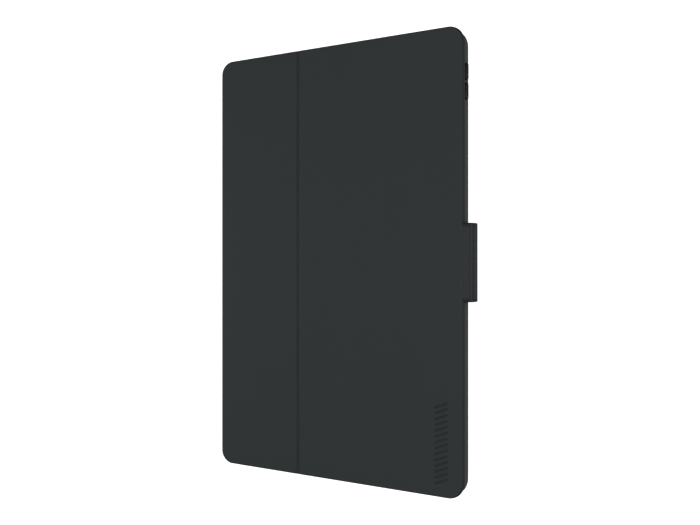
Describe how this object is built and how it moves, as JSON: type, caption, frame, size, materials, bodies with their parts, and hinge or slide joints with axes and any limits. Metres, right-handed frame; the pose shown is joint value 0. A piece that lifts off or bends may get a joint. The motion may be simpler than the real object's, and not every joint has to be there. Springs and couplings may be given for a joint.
{
  "type": "tablet case",
  "caption": "Folio case for a large tablet: soft-edged tray, leather front cover with one vertical crease, folding spine and a magnetic closing tab.",
  "frame": {"origin": "under the middle of the whole closed case, on the surface that its back lies on", "axes": "+Z out of the front cover, +Y towards the tablet's top edge, +X from the spine towards the closing tab"},
  "size_m": [0.2368, 0.3126, 0.0143],
  "materials": {
    "soft_bumper": "matt smoke-grey TPU",
    "back_plate": "fine matt moulded",
    "leather": "dark charcoal smooth faux leather, fine grain",
    "fold_leather": "dark charcoal smooth faux leather, soft",
    "lining": "charcoal microfibre",
    "board": "grey board",
    "strip": "plain",
    "glue": "clear film",
    "tape": "woven reinforcing tape",
    "carrier": "plain",
    "steel": "plain",
    "magnet": "nickel plated",
    "pad": "black, satin"
  },
  "bodies": {
    "tray": {"bumper": "soft_bumper", "back_plate": "back_plate", "keeper_plate": "steel", "anchor_skin": "leather", "anchor_board": "board", "anchor_glue": "glue"},
    "spine": {"rear_fold": "fold_leather", "spine_skin": "leather", "spine_strip": "strip", "spine_lining": "lining"},
    "hinge_panel": {"front_fold": "fold_leather", "hinge_panel_skin": "leather", "hinge_panel_board": "board", "hinge_panel_lining": "lining"},
    "free_panel": {"crease_fold": "fold_leather", "free_panel_skin": "leather", "free_panel_board": "board", "free_panel_lining": "lining", "wake_magnets": "magnet", "tab_root_tape": "tape", "tab_root_lining": "lining"},
    "tab_side": {"tab_front_fold": "fold_leather", "tab_side_skin": "leather", "tab_side_tape": "tape", "tab_side_lining": "lining"},
    "tab_flap": {"tab_rear_fold": "fold_leather", "tab_flap_skin": "leather", "tab_magnet_carrier": "carrier", "tab_magnets": "magnet", "tab_flap_lining": "lining"},
    "volume_up_button": {"volume_up_button": "pad"},
    "volume_down_button": {"volume_down_button": "pad"},
    "power_button": {"power_button": "pad"}
  },
  "joints": [
    {"name": "spine_rear_fold", "type": "hinge", "parent": "tray", "child": "spine", "pos_m": [-0.1164, 0, 0.002], "axis": [0, -1, 0], "range_deg": [0, 179], "deforming": ["rear_fold"]},
    {"name": "spine_front_fold", "type": "hinge", "parent": "spine", "child": "hinge_panel", "pos_m": [-0.1164, 0, 0.0123], "axis": [0, -1, 0], "range_deg": [0, 179], "deforming": ["front_fold"]},
    {"name": "cover_crease", "type": "hinge", "parent": "hinge_panel", "child": "free_panel", "pos_m": [-0.0363, 0, 0.0146], "axis": [0, 1, 0], "range_deg": [-175, 0], "deforming": ["crease_fold"]},
    {"name": "tab_front_fold", "type": "hinge", "parent": "free_panel", "child": "tab_side", "pos_m": [0.1162, 0, 0.0121], "axis": [0, -1, 0], "range_deg": [0, 108], "deforming": ["tab_front_fold"]},
    {"name": "tab_rear_fold", "type": "hinge", "parent": "tab_side", "child": "tab_flap", "pos_m": [0.11134, 0, 0.004], "axis": [0, -1, 0], "range_deg": [0, 69], "deforming": ["tab_rear_fold"]},
    {"name": "volume_up_press", "type": "slide", "parent": "tray", "child": "volume_up_button", "axis": [-1, 0, 0], "range_m": [0, 0.0004], "stiffness_N_per_m": 800},
    {"name": "volume_down_press", "type": "slide", "parent": "tray", "child": "volume_down_button", "axis": [-1, 0, 0], "range_m": [0, 0.0004], "stiffness_N_per_m": 800},
    {"name": "power_press", "type": "slide", "parent": "tray", "child": "power_button", "axis": [0, -1, 0], "range_m": [0, 0.0004], "stiffness_N_per_m": 800}
  ]
}
